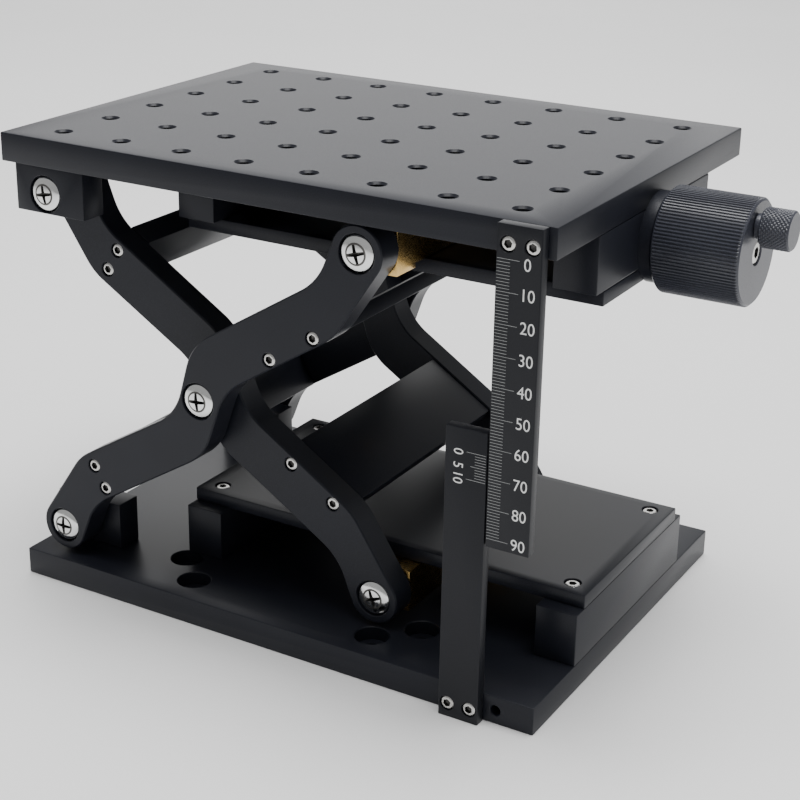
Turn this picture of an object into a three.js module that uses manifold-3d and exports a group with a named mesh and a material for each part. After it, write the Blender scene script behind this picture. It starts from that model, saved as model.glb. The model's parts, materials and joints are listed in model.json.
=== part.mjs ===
// Scissor lab jack: a table on two crossed pairs of arms, raised by a lead screw with a knurled knob.
// Millimetres, +Z up. Origin: centre of the base plate's underside. +X points to the knob.
import * as THREE from 'three';
import { mergeVertices } from 'three/addons/utils/BufferGeometryUtils.js';
import Module from 'manifold-3d';

const wasm = await Module();
wasm.setup();

// ---- Driving dimensions -------------------------------------------------------------------------
const PLATE = { length: 210, depth: 150, thick: 10 };
const HOLE_GRID = { columns: 8, rows: 6, pitch: 25, radius: 2.6 };
const REST_HEIGHT = 168; // table top above the underside
const PIVOT_INSET = 21; // from a plate's outer face to the pivots next to it
const ARM_REACH = 89; // from the centre pivot to an end pivot
const FIXED_PIVOT_X = -91;
const LUG = { left: -104, right: -75, height: 18 }; // under the arms' fixed ends, on the base
const EAR = { left: -103.7, right: -74, height: 18 }; // the same, under the table

const OUTER_LAYER = { inside: 59.5, thick: 10.5 }; // |y| of the outer arms and the table's ears
const INNER_LAYER = { inside: 47, thick: 10.5 }; // |y| of the inner arms and the base's lugs
const LAYER_GAP = 1; // clearance between the outer arms and the nut bar, and at the screws' ends
const ARM_END_RADIUS = 9.3;
const ARM_FILLET = 22;
const ARM_ARC_STEPS = 5;
// An arm's corners before rounding, as (along, across) the line of its pivots from the centre pivot.
const ARM_CORNERS = {
  upper: [[70.4, 2.0], [12.4, 15.6], [-11.8, 2.1], [-61.8, 14.6]],
  lower: [[-70.4, -2.0], [-12.4, -15.6], [11.8, -3.8], [61.8, -15.0]],
};
// The bar and the plate that tie a front arm to the rear one; `tilt` is from the line of pivots.
const TIE_BAR = { u: -59.5, w: 4.1, along: 9, across: 17, tilt: -14, screwSpread: 9 };
const TIE_PLATE = { u: 45.4, w: -8.2, along: 30, across: 5.2, tilt: -12.6, screwSpread: 20 };
const GAP = 0.3; // clearance between pieces that turn or are cut to fit each other

const GUIDE = { left: -53, right: 105, blockLength: 15, blockHalfDepth: 45, blockHeight: 19 };
const COVER = { halfDepth: 39.5, thick: 5, screwInset: 7.5, screwY: 33 };
const BAR = { width: 16, height: 15.4, bossWidth: 16, bossHeight: 18.5, bossLength: 12 };

const SCREW_RADIUS = 5;
const SCREW_SHOULDER = 1; // clearance at each end of the lead screw's threaded length
const BUSH = { shaftRadius: 3.5, radius: 6, inset: 1, length: 12 }; // at the lead screw's left end
const BEARING = { shaftRadius: 4, radius: 8, inset: 1 }; // at its right end
const GUIDE_ROD_INSET = 3; // how far its ends stay inside the guide's outer faces
const COLLAR = { radius: 15, length: 4.5 };
const KNOB = { radius: 17.5, start: 110, length: 29, chamfer: 0.8 };
const KNOB_SHAFT_DEPTH = 18; // how far the lead screw reaches into the knob
const KNOB_SCREW = { radius: 2, headRadius: 3.6, headHeight: 3, length: 9.5, hex: 2 };
const CRANK = { offset: 9.8, frontOffset: 2.6, pinRadius: 2.5, pinDepth: 4.7, shoulderRadius: 4 };
const GRIP = { radius: 6.5, gap: 2.3, length: 9.7, boreDepth: 7 };

const RULER = { left: 87.7, right: 102.5, length: 103.5, thick: 4, screwX: [91.3, 99.2], screwDrop: 6 };
const POST = { left: 72.8, right: 87.2, length: 102, thick: 4, screwX: [75.9, 83.8], screwRise: 4.8 };

const PIVOT_PIN = { radius: 4, headRadius: 6.2, headHeight: 2.6, seatDepth: 1.8, grip: 8 };
const TIE_SCREW = { radius: 1.5, headRadius: 2.25, headHeight: 2.7, length: 12, hex: 1.3 };
const COVER_SCREW = { radius: 1.5, headRadius: 2.6, headHeight: 2, length: 14, hex: 1.3 };
const FRONT_SCREW = { radius: 1.5, headRadius: 2.25, headHeight: 2.4, length: 10, hex: 1.3 };
const FOOT_BOLT_HOLE = { radius: 3.3, boreRadius: 6, boreDepth: 5 };

// Lines below follow from the driving dimensions.
const BASE_TOP = PLATE.thick;
const TABLE_UNDERSIDE = REST_HEIGHT - PLATE.thick;
const FRONT = -PLATE.depth / 2;
const LOW_PIVOT_Z = PIVOT_INSET;
const HIGH_PIVOT_Z = REST_HEIGHT - PIVOT_INSET;
const PIVOT_RISE = HIGH_PIVOT_Z - LOW_PIVOT_Z;
const LEAN = Math.asin(PIVOT_RISE / (2 * ARM_REACH)); // the arms' angle at rest
const SLIDING_PIVOT_X = FIXED_PIVOT_X + 2 * ARM_REACH * Math.cos(LEAN);
const CENTRE = { x: (FIXED_PIVOT_X + SLIDING_PIVOT_X) / 2, z: REST_HEIGHT / 2 };
const KNOB_FACE = KNOB.start + KNOB.length;
const CRANK_Y = -CRANK.frontOffset;
const CRANK_Z = HIGH_PIVOT_Z + Math.sqrt(CRANK.offset ** 2 - CRANK.frontOffset ** 2);
const ACROSS = { front: -1, rear: 1 };
// How far from the middle, as |y|, the pivot screws through the outer and the inner layer end.
const SCREW_END = {
  outer: OUTER_LAYER.inside - LAYER_GAP - PIVOT_PIN.grip,
  inner: INNER_LAYER.inside - PIVOT_PIN.grip,
};

// ---- Materials ----------------------------------------------------------------------------------
const finishes = {
  anodised: { color: 0x2b2d32, roughness: 0.5, metalness: 0.7 },
  engraved: { color: 0x303238, roughness: 0.55, metalness: 0.6 },
  knurled: { color: 0x34373f, roughness: 0.45, metalness: 0.75 },
  brass: { color: 0xb08a45, roughness: 0.35, metalness: 1.0 },
  zinc: { color: 0xd5d6d4, roughness: 0.22, metalness: 1.0 },
  steel: { color: 0xa4a7ab, roughness: 0.3, metalness: 1.0 },
};

const jack = new THREE.Group();

function addPiece(name, solid, finish) {
  const piece = new THREE.Mesh(toGeometry(solid), new THREE.MeshStandardMaterial(finishes[finish]));
  piece.name = name;
  jack.add(piece);
}

// ---- Solids -------------------------------------------------------------------------------------
function toSolid(geometry) {
  const plain = geometry.clone();
  plain.deleteAttribute('normal');
  plain.deleteAttribute('uv');
  const merged = mergeVertices(plain, 1e-4);
  return new wasm.Manifold(new wasm.Mesh({
    numProp: 3,
    vertProperties: new Float32Array(merged.attributes.position.array),
    triVerts: new Uint32Array(merged.index.array),
  }));
}

function toGeometry(solid) {
  const mesh = solid.getMesh();
  const geometry = new THREE.BufferGeometry();
  geometry.setAttribute('position', new THREE.BufferAttribute(mesh.vertProperties, 3));
  geometry.setIndex(new THREE.BufferAttribute(mesh.triVerts, 1));
  geometry.computeVertexNormals();
  return geometry;
}

// A box from its lowest corner to its highest one.
function box([x0, y0, z0], [x1, y1, z1]) {
  const geometry = new THREE.BoxGeometry(x1 - x0, y1 - y0, z1 - z0);
  geometry.translate((x0 + x1) / 2, (y0 + y1) / 2, (z0 + z1) / 2);
  return toSolid(geometry);
}

// A bar of round or many-sided section from one point to another.
function rod(from, to, radius, sides = 16) {
  const start = new THREE.Vector3(...from);
  const span = new THREE.Vector3(...to).sub(start);
  const geometry = new THREE.CylinderGeometry(radius, radius, span.length(), sides);
  geometry.translate(0, span.length() / 2, 0);
  turnTowards(geometry, span.normalize());
  geometry.translate(start.x, start.y, start.z);
  return toSolid(geometry);
}

// A turned piece: its profile's y runs along `direction` from `start`.
function turned(profile, start, direction, sides = 16) {
  const geometry = new THREE.LatheGeometry(profile.map(([r, y]) => new THREE.Vector2(r, y)), sides);
  turnTowards(geometry, new THREE.Vector3(...direction));
  geometry.translate(...start);
  return toSolid(geometry);
}

function turnTowards(geometry, direction) {
  const up = new THREE.Vector3(0, 1, 0);
  geometry.applyQuaternion(new THREE.Quaternion().setFromUnitVectors(up, direction));
}

// A flat outline in the X-Z plane, given depth along Y.
function slab(shape, yStart, yEnd) {
  const geometry = new THREE.ExtrudeGeometry(shape, { depth: yEnd - yStart, bevelEnabled: false });
  geometry.rotateX(Math.PI / 2);
  geometry.translate(0, yEnd, 0);
  return toSolid(geometry);
}

function cut(solid, ...tools) {
  return tools.reduce((rest, tool) => rest.subtract(tool), solid);
}

// ---- Fasteners ----------------------------------------------------------------------------------
// A socket-head screw. Its head's outer face is at `face`, sunk by GAP, and it points along `inward`.
function socketScrew(size, face, inward) {
  const along = (distance) => face.map((value, i) => value + inward[i] * distance);
  const head = rod(along(GAP), along(GAP + size.headHeight), size.headRadius, 10);
  const shank = rod(along(GAP + size.headHeight / 2), along(GAP + size.length), size.radius, 6);
  const socket = rod(along(0), along(GAP + size.headHeight * 0.6), size.hex, 6);
  return cut(head.add(shank), socket);
}

// The stepped hole that a socket-head screw sits in, from `face` inwards.
function screwHole(size, face, inward) {
  const along = (distance) => face.map((value, i) => value + inward[i] * distance);
  const seat = rod(along(-1), along(size.headHeight + 2 * GAP), size.headRadius + GAP, 10);
  const bore = rod(along(0), along(size.length + 3 * GAP), size.radius + GAP, 6);
  return seat.add(bore);
}

// A pivot screw that ends at |y| = screwEnd. Its domed head sits in a shallow seat in the piece whose
// outer face is at |y| = outside.
function pivotScrew(x, z, outside, screwEnd, side) {
  const { radius, headRadius, headHeight, seatDepth } = PIVOT_PIN;
  const reach = outside - seatDepth - screwEnd;
  const profile = [
    [0, -reach], [radius, -reach], [radius, GAP], [headRadius, GAP],
    [headRadius, headHeight * 0.45], [headRadius * 0.8, headHeight * 0.85], [0, headHeight],
  ];
  return turned(profile, [x, side * (outside - seatDepth), z], [0, side, 0], 24);
}

// The seat for a pivot screw's head.
function pivotSeat(x, z, outside, side) {
  const floor = outside - PIVOT_PIN.seatDepth;
  return rod([x, side * floor, z], [x, side * (outside + 1), z], PIVOT_PIN.headRadius + GAP, 24);
}

// The bore for a pivot screw that ends at |y| = screwEnd. It is blind in a piece that reaches further in.
function pivotBore(x, z, screwEnd, side) {
  const outside = OUTER_LAYER.inside + OUTER_LAYER.thick;
  return rod([x, side * (screwEnd - GAP), z], [x, side * (outside + 1), z], PIVOT_PIN.radius + GAP);
}

// ---- Plates -------------------------------------------------------------------------------------
function plate(bottom) {
  return box([-PLATE.length / 2, FRONT, bottom], [PLATE.length / 2, -FRONT, bottom + PLATE.thick]);
}

function gridPositions() {
  const { columns, rows, pitch } = HOLE_GRID;
  const spots = [];
  for (let i = 0; i < columns; i += 1) {
    for (let j = 0; j < rows; j += 1) {
      spots.push([(i - (columns - 1) / 2) * pitch, (j - (rows - 1) / 2) * pitch]);
    }
  }
  return spots;
}

// Blind tapped hole in a plate's front edge.
function frontEdgeHole(x, z) {
  return rod([x, FRONT - 1, z], [x, FRONT + FRONT_SCREW.length, z], FRONT_SCREW.radius + GAP, 8);
}

function topPlate() {
  const holes = gridPositions().map(([x, y]) => (
    rod([x, y, TABLE_UNDERSIDE - 1], [x, y, REST_HEIGHT + 1], HOLE_GRID.radius, 12)
  ));
  const edgeHoles = RULER.screwX.map((x) => frontEdgeHole(x, REST_HEIGHT - RULER.screwDrop));
  return cut(plate(TABLE_UNDERSIDE), ...holes, ...edgeHoles);
}

// Counterbored holes for bolting the base down, on a half-pitch pattern beside the mechanism.
function footBoltHoles() {
  const spots = [[1.5, 2.5], [2, 2]].map(([i, j]) => [i * HOLE_GRID.pitch, j * HOLE_GRID.pitch]);
  const holes = [];
  for (const [x, y] of spots) {
    for (const sx of [-1, 1]) {
      for (const sy of [-1, 1]) {
        holes.push(rod([sx * x, sy * y, -1], [sx * x, sy * y, BASE_TOP + 1], FOOT_BOLT_HOLE.radius, 12));
        holes.push(rod(
          [sx * x, sy * y, BASE_TOP - FOOT_BOLT_HOLE.boreDepth],
          [sx * x, sy * y, BASE_TOP + 1],
          FOOT_BOLT_HOLE.boreRadius,
          16,
        ));
      }
    }
  }
  return holes;
}

function basePlate() {
  const edgeHoles = [...POST.screwX, RULER.screwX[0]].map((x) => frontEdgeHole(x, POST.screwRise));
  return cut(plate(0), ...footBoltHoles(), ...edgeHoles);
}

// ---- Guides -------------------------------------------------------------------------------------
// The base's guide and the table's guide mirror each other. `level` turns a height above a
// plate's outer face into Z; it returns the lower value first.
const guides = {
  base: (low, high) => [low, high],
  top: (low, high) => [REST_HEIGHT - high, REST_HEIGHT - low],
};
const BLOCK_TOP = PLATE.thick + GUIDE.blockHeight;
const COVER_TOP = BLOCK_TOP + COVER.thick;

function coverScrewSpots() {
  const xs = [GUIDE.left + COVER.screwInset, GUIDE.right - COVER.screwInset];
  return xs.flatMap((x) => [-1, 1].map((side) => [x, side * COVER.screwY]));
}

function coverScrewAxis(level) {
  const [low, high] = level(0, COVER_TOP);
  return level === guides.base ? { z: high, down: -1 } : { z: low, down: 1 };
}

function coverScrewHoles(level) {
  const { z, down } = coverScrewAxis(level);
  return coverScrewSpots().map(([x, y]) => screwHole(COVER_SCREW, [x, y, z], [0, 0, down]));
}

function guideBlock(level, xStart, ...cuts) {
  const [low, high] = level(PLATE.thick, BLOCK_TOP);
  const xEnd = xStart + GUIDE.blockLength;
  const solid = box([xStart, -GUIDE.blockHalfDepth, low], [xEnd, GUIDE.blockHalfDepth, high]);
  return cut(solid, ...coverScrewHoles(level), ...cuts);
}

function coverPlate(level) {
  const [low, high] = level(BLOCK_TOP, COVER_TOP);
  const solid = box([GUIDE.left, -COVER.halfDepth, low], [GUIDE.right, COVER.halfDepth, high]);
  return cut(solid, ...coverScrewHoles(level));
}

// ---- Sliding bars, lead screw and knob ------------------------------------------------------------
// A cross bar between a pair of arms, running in a guide.
function crossBar(z, halfLength, boreRadius) {
  const x = SLIDING_PIVOT_X;
  const bar = box([x - BAR.width / 2, -halfLength, z - BAR.height / 2],
    [x + BAR.width / 2, halfLength, z + BAR.height / 2]);
  const bore = rod([x - BAR.width, 0, z], [x + BAR.width, 0, z], boreRadius);
  return cut(bar, bore, pivotScrewHole(x, z, halfLength, 1), pivotScrewHole(x, z, halfLength, -1));
}

function pivotScrewHole(x, z, end, side) {
  const depth = PIVOT_PIN.grip + 1;
  return rod([x, side * (end - depth), z], [x, side * (end + 1), z], PIVOT_PIN.radius + GAP);
}

// The brass nut bar has square bosses outside the guide, where the outer arms are pinned.
function nutBar() {
  const x = SLIDING_PIVOT_X;
  const z = HIGH_PIVOT_Z;
  const end = OUTER_LAYER.inside - LAYER_GAP;
  let bar = crossBar(z, end, SCREW_RADIUS + GAP);
  for (const side of [-1, 1]) {
    const edges = [side * (end - BAR.bossLength), side * end].sort((a, b) => a - b);
    const boss = box([x - BAR.bossWidth / 2, edges[0], z - BAR.bossHeight / 2],
      [x + BAR.bossWidth / 2, edges[1], z + BAR.bossHeight / 2]);
    bar = bar.add(cut(boss, pivotScrewHole(x, z, end, side)));
  }
  return bar;
}

function leadScrew() {
  const threadStart = GUIDE.blockLength;
  const threadEnd = GUIDE.right - GUIDE.left - GUIDE.blockLength - SCREW_SHOULDER;
  const end = KNOB.start + KNOB_SHAFT_DEPTH - GUIDE.left;
  return turned(
    [
      [0, 0], [BUSH.shaftRadius, 0], [BUSH.shaftRadius, threadStart], [SCREW_RADIUS, threadStart],
      [SCREW_RADIUS, threadEnd], [BEARING.shaftRadius, threadEnd], [BEARING.shaftRadius, end], [0, end],
    ],
    [GUIDE.left, 0, HIGH_PIVOT_Z],
    [1, 0, 0],
  );
}

function ring(innerRadius, outerRadius, xStart, xEnd, sides = 24) {
  const z = HIGH_PIVOT_Z;
  const body = rod([xStart, 0, z], [xEnd, 0, z], outerRadius, sides);
  return cut(body, rod([xStart - 1, 0, z], [xEnd + 1, 0, z], innerRadius, 16));
}

function knob() {
  const z = HIGH_PIVOT_Z;
  const { radius, start, length, chamfer } = KNOB;
  const body = turned(
    [
      [0, 0], [radius - chamfer, 0], [radius, chamfer], [radius, length - chamfer],
      [radius - chamfer, length], [0, length],
    ],
    [start, 0, z],
    [1, 0, 0],
    32,
  );
  const screwBore = rod([start - 1, 0, z], [start + KNOB_SHAFT_DEPTH + 1, 0, z], BEARING.shaftRadius + GAP);
  const fixing = screwHole(KNOB_SCREW, [KNOB_FACE, 0, z], [-1, 0, 0]);
  const pinHole = rod(
    [KNOB_FACE - CRANK.pinDepth - GAP, CRANK_Y, CRANK_Z],
    [KNOB_FACE + 1, CRANK_Y, CRANK_Z],
    CRANK.pinRadius + GAP,
    12,
  );
  return cut(body, screwBore, fixing, pinHole);
}

function crankPin() {
  const shoulder = CRANK.pinDepth + GAP;
  const neck = CRANK.pinDepth + GRIP.gap - GAP;
  const { pinRadius, shoulderRadius } = CRANK;
  return turned(
    [
      [0, 0], [pinRadius, 0], [pinRadius, shoulder], [shoulderRadius, shoulder], [shoulderRadius, neck],
      [pinRadius, neck], [pinRadius, neck + GRIP.boreDepth], [0, neck + GRIP.boreDepth],
    ],
    [KNOB_FACE - CRANK.pinDepth, CRANK_Y, CRANK_Z],
    [1, 0, 0],
    12,
  );
}

function crankGrip() {
  const start = KNOB_FACE + GRIP.gap;
  const body = rod([start, CRANK_Y, CRANK_Z], [start + GRIP.length, CRANK_Y, CRANK_Z], GRIP.radius, 24);
  const boreEnd = start + GRIP.boreDepth + GAP;
  const bore = rod([start - 1, CRANK_Y, CRANK_Z], [boreEnd, CRANK_Y, CRANK_Z], CRANK.pinRadius + GAP, 12);
  return cut(body, bore);
}

// ---- Lugs -----------------------------------------------------------------------------------------
// A block under a plate's left end that carries a fixed pivot.
function lug(size, layer, zStart, side) {
  const faces = [side * layer.inside, side * (layer.inside + layer.thick)];
  return box(
    [size.left, Math.min(...faces), zStart],
    [size.right, Math.max(...faces), zStart + size.height],
  );
}

// ---- Arms -----------------------------------------------------------------------------------------
// Arm coordinates: u runs along the line of pivots from the fixed pivot, w across it, both from the
// centre pivot. `hand` is 1 for the outer arms, which rise to the right, and -1 for the inner ones,
// which mirror them.
function armPoint(u, w, hand) {
  const angle = LEAN;
  const x = u * Math.cos(angle) - w * Math.sin(angle);
  const z = u * Math.sin(angle) + w * Math.cos(angle);
  return [CENTRE.x + x, CENTRE.z + hand * z];
}

// Where a straight line from a corner touches a round end, on the end's left or right as seen from it.
function touchPoint([u, w], endU, side) {
  const distance = Math.hypot(endU - u, -w);
  const towards = Math.atan2(-w, endU - u);
  const angle = towards + Math.PI + side * Math.acos(ARM_END_RADIUS / distance);
  return [endU + ARM_END_RADIUS * Math.cos(angle), ARM_END_RADIUS * Math.sin(angle)];
}

function armOutline() {
  const { upper, lower } = ARM_CORNERS;
  const path = new THREE.Path();
  const upperStart = touchPoint(upper[0], ARM_REACH, -1);
  const lowerStart = touchPoint(lower[0], -ARM_REACH, -1);
  addHalf(path, [upperStart, ...upper], touchPoint(upper[3], -ARM_REACH, 1), lowerStart, -ARM_REACH);
  addHalf(path, [lowerStart, ...lower], touchPoint(lower[3], ARM_REACH, 1), upperStart, ARM_REACH);
  return path.getPoints(ARM_ARC_STEPS).map((point) => [point.x, point.y]);
}

// One long side of the arm: filleted corners, then the round end at `endU`, up to where the next
// side starts.
function addHalf(path, points, last, next, endU) {
  const route = [...points, last].map(([u, w]) => new THREE.Vector2(u, w));
  if (path.curves.length === 0) {
    path.moveTo(route[0].x, route[0].y);
  }
  for (let i = 1; i < route.length - 1; i += 1) {
    addFillet(path, route[i - 1], route[i], route[i + 1]);
  }
  path.lineTo(last[0], last[1]);
  const from = Math.atan2(last[1], last[0] - endU);
  const to = Math.atan2(next[1], next[0] - endU);
  path.absarc(endU, 0, ARM_END_RADIUS, from, to, false);
}

function addFillet(path, before, corner, after) {
  const inward = before.clone().sub(corner).normalize();
  const outward = after.clone().sub(corner).normalize();
  const halfAngle = inward.angleTo(outward) / 2;
  const tangent = ARM_FILLET / Math.tan(halfAngle);
  const start = corner.clone().addScaledVector(inward, tangent);
  const end = corner.clone().addScaledVector(outward, tangent);
  const middle = inward.clone().add(outward).normalize();
  const centre = corner.clone().addScaledVector(middle, ARM_FILLET / Math.sin(halfAngle));
  path.lineTo(start.x, start.y);
  const clockwise = inward.cross(outward) > 0;
  path.absarc(centre.x, centre.y, ARM_FILLET,
    start.clone().sub(centre).angle(), end.clone().sub(centre).angle(), clockwise);
}

// The two screws that hold a tie: spread across the arm for a bar, along it for a plate.
function tieScrewSpots(tie, direction) {
  const tilt = THREE.MathUtils.degToRad(tie.tilt + (direction === 'across' ? 90 : 0));
  return [-0.5, 0.5].map((k) => [
    tie.u + k * tie.screwSpread * Math.cos(tilt),
    tie.w + k * tie.screwSpread * Math.sin(tilt),
  ]);
}

function allTieScrewSpots() {
  return [...tieScrewSpots(TIE_BAR, 'across'), ...tieScrewSpots(TIE_PLATE, 'along')];
}

function arm(layer, hand, side) {
  const shape = new THREE.Shape(armOutline().map(([u, w]) => new THREE.Vector2(...armPoint(u, w, hand))));
  const near = side * layer.inside;
  const far = side * (layer.inside + layer.thick);
  const solid = slab(shape, Math.min(near, far), Math.max(near, far));
  const lastEnd = layer === OUTER_LAYER ? SCREW_END.outer : SCREW_END.inner;
  const ends = [[-ARM_REACH, SCREW_END.outer], [0, SCREW_END.outer], [ARM_REACH, lastEnd]];
  const bores = ends.map(([u, screwEnd]) => pivotBore(...armPoint(u, 0, hand), screwEnd, side));
  const seated = layer === OUTER_LAYER ? [-ARM_REACH, 0, ARM_REACH] : [ARM_REACH];
  const seats = seated.map((u) => pivotSeat(...armPoint(u, 0, hand), layer.inside + layer.thick, side));
  const screwHoles = allTieScrewSpots().map(([u, w]) => {
    const [x, z] = armPoint(u, w, hand);
    return screwHole(TIE_SCREW, [x, far, z], [0, -side, 0]);
  });
  return cut(solid, ...bores, ...seats, ...screwHoles);
}

// A bar or plate that ties a front arm to the rear one behind it.
function tie(size, direction, layer, hand) {
  const halfDepth = layer.inside - GAP;
  const tilt = THREE.MathUtils.degToRad(size.tilt);
  const [a, b] = [size.along / 2, size.across / 2];
  const corners = [[-a, -b], [a, -b], [a, b], [-a, b]].map(([p, q]) => {
    const u = size.u + p * Math.cos(tilt) - q * Math.sin(tilt);
    const w = size.w + p * Math.sin(tilt) + q * Math.cos(tilt);
    return new THREE.Vector2(...armPoint(u, w, hand));
  });
  const solid = slab(new THREE.Shape(corners), -halfDepth, halfDepth);
  const holes = tieScrewSpots(size, direction).flatMap(([u, w]) => [-1, 1].map((side) => {
    const [x, z] = armPoint(u, w, hand);
    return screwHole(TIE_SCREW, [x, side * (layer.inside + layer.thick), z], [0, -side, 0]);
  }));
  return cut(solid, ...holes);
}

// ---- Scale and vernier ----------------------------------------------------------------------------
function frontStrip(size, zLow, zHigh, screwZ) {
  const back = FRONT - GAP;
  const solid = box([size.left, back - size.thick, zLow], [size.right, back, zHigh]);
  const holes = size.screwX.map((x) => screwHole(FRONT_SCREW, [x, back - size.thick, screwZ], [0, 1, 0]));
  return cut(solid, ...holes);
}

function frontScrews(prefix, size, z) {
  size.screwX.forEach((x, i) => {
    const face = [x, FRONT - GAP - size.thick, z];
    addPiece(`${prefix}_screw_${i + 1}`, socketScrew(FRONT_SCREW, face, [0, 1, 0]), 'steel');
  });
}

// ---- Assembly -------------------------------------------------------------------------------------
function addBase() {
  const rightBlock = GUIDE.right - GUIDE.blockLength;
  const z0 = LOW_PIVOT_Z;
  const rodEnds = [GUIDE.left + GUIDE_ROD_INSET, GUIDE.right - GUIDE_ROD_INSET];
  const rodHole = rod([rodEnds[0], 0, z0], [rodEnds[1], 0, z0], SCREW_RADIUS);
  const guideRod = rod([rodEnds[0] + GAP, 0, z0], [rodEnds[1] - GAP, 0, z0], SCREW_RADIUS - GAP);
  addPiece('base_plate', basePlate(), 'anodised');
  addPiece('base_guide_block_left', guideBlock(guides.base, GUIDE.left, rodHole), 'anodised');
  addPiece('base_guide_block_right', guideBlock(guides.base, rightBlock, rodHole), 'anodised');
  addPiece('base_guide_cover', coverPlate(guides.base), 'anodised');
  addPiece('base_guide_rod', guideRod, 'steel');
  for (const [place, side] of Object.entries(ACROSS)) {
    const bore = pivotBore(FIXED_PIVOT_X, z0, SCREW_END.outer, side);
    const block = cut(lug(LUG, INNER_LAYER, BASE_TOP, side), bore);
    addPiece(`base_pivot_lug_${place}`, block, 'anodised');
  }
  const { z, down } = coverScrewAxis(guides.base);
  coverScrewSpots().forEach(([x, y], i) => {
    addPiece(`base_cover_screw_${i + 1}`, socketScrew(COVER_SCREW, [x, y, z], [0, 0, down]), 'steel');
  });
  addPiece('vernier_post', frontStrip(POST, 0, POST.length, POST.screwRise), 'engraved');
  frontScrews('vernier_post', POST, POST.screwRise);
}

function addTable() {
  const rightBlock = GUIDE.right - GUIDE.blockLength;
  const z = HIGH_PIVOT_Z;
  const earOutside = OUTER_LAYER.inside + OUTER_LAYER.thick;
  const bushStart = GUIDE.left + BUSH.inset;
  const bearingSpan = [rightBlock + BEARING.inset, GUIDE.right - BEARING.inset];
  const leftSeat = rod([GUIDE.left - 1, 0, z], [GUIDE.left + GUIDE.blockLength + 1, 0, z], BUSH.radius);
  const rightSeat = rod([rightBlock - 1, 0, z], [GUIDE.right + 1, 0, z], BEARING.radius);
  const rulerScrewZ = REST_HEIGHT - RULER.screwDrop;
  addPiece('top_plate', topPlate(), 'anodised');
  addPiece('top_guide_block_left', guideBlock(guides.top, GUIDE.left, leftSeat), 'anodised');
  addPiece('top_guide_block_right', guideBlock(guides.top, rightBlock, rightSeat), 'anodised');
  addPiece('top_guide_cover', coverPlate(guides.top), 'anodised');
  for (const [place, side] of Object.entries(ACROSS)) {
    const block = lug(EAR, OUTER_LAYER, TABLE_UNDERSIDE - EAR.height, side);
    const bore = pivotBore(FIXED_PIVOT_X, z, SCREW_END.outer, side);
    const ear = cut(block, bore, pivotSeat(FIXED_PIVOT_X, z, earOutside, side));
    addPiece(`top_pivot_ear_${place}`, ear, 'anodised');
  }
  const bush = ring(BUSH.shaftRadius + GAP, BUSH.radius - GAP, bushStart, bushStart + BUSH.length);
  const bearing = ring(BEARING.shaftRadius + GAP, BEARING.radius - GAP, ...bearingSpan);
  addPiece('lead_screw_bush', bush, 'brass');
  addPiece('lead_screw_bearing', bearing, 'steel');
  addPiece(
    'bearing_cap',
    ring(BEARING.shaftRadius + GAP, COLLAR.radius, GUIDE.right, GUIDE.right + COLLAR.length),
    'anodised',
  );
  addPiece('ruler', frontStrip(RULER, REST_HEIGHT - RULER.length, REST_HEIGHT, rulerScrewZ), 'engraved');
  frontScrews('ruler', RULER, rulerScrewZ);
}

function addDrive() {
  const z = HIGH_PIVOT_Z;
  addPiece('lead_screw', leadScrew(), 'steel');
  addPiece('nut_bar', nutBar(), 'brass');
  addPiece('lower_slider', crossBar(LOW_PIVOT_Z, INNER_LAYER.inside - GAP, SCREW_RADIUS), 'brass');
  addPiece('knob', knob(), 'knurled');
  addPiece('knob_screw', socketScrew(KNOB_SCREW, [KNOB_FACE, 0, z], [-1, 0, 0]), 'steel');
  addPiece('crank_pin', crankPin(), 'steel');
  addPiece('crank_grip', crankGrip(), 'knurled');
}

function addArms() {
  const pairs = { outer: [OUTER_LAYER, 1], inner: [INNER_LAYER, -1] };
  for (const [pair, [layer, hand]] of Object.entries(pairs)) {
    for (const [place, side] of Object.entries(ACROSS)) {
      addPiece(`${pair}_arm_${place}`, arm(layer, hand, side), 'anodised');
    }
    addPiece(`${pair}_tie_bar`, tie(TIE_BAR, 'across', layer, hand), 'anodised');
    addPiece(`${pair}_tie_plate`, tie(TIE_PLATE, 'along', layer, hand), 'anodised');
    const face = -(layer.inside + layer.thick);
    allTieScrewSpots().forEach(([u, w], i) => {
      const [x, z] = armPoint(u, w, hand);
      addPiece(`${pair}_tie_screw_${i + 1}`, socketScrew(TIE_SCREW, [x, face, z], [0, 1, 0]), 'steel');
    });
  }
}

// Five pivots on each side. The screws through the inner arms' lower ends start one layer further in.
function addPivotScrews() {
  const outside = OUTER_LAYER.inside + OUTER_LAYER.thick;
  const innerOutside = INNER_LAYER.inside + INNER_LAYER.thick;
  const pivots = {
    base: [FIXED_PIVOT_X, LOW_PIVOT_Z, outside, SCREW_END.outer],
    centre: [CENTRE.x, CENTRE.z, outside, SCREW_END.outer],
    table: [FIXED_PIVOT_X, HIGH_PIVOT_Z, outside, SCREW_END.outer],
    nut: [SLIDING_PIVOT_X, HIGH_PIVOT_Z, outside, SCREW_END.outer],
    slider: [SLIDING_PIVOT_X, LOW_PIVOT_Z, innerOutside, SCREW_END.inner],
  };
  for (const [pivot, size] of Object.entries(pivots)) {
    for (const [place, side] of Object.entries(ACROSS)) {
      addPiece(`${pivot}_pivot_screw_${place}`, pivotScrew(...size, side), 'zinc');
    }
  }
}

addBase();
addTable();
addDrive();
addArms();
addPivotScrews();

export default jack;
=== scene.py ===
import json
import math

import bmesh
import bpy
from mathutils import Matrix, Vector


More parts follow.
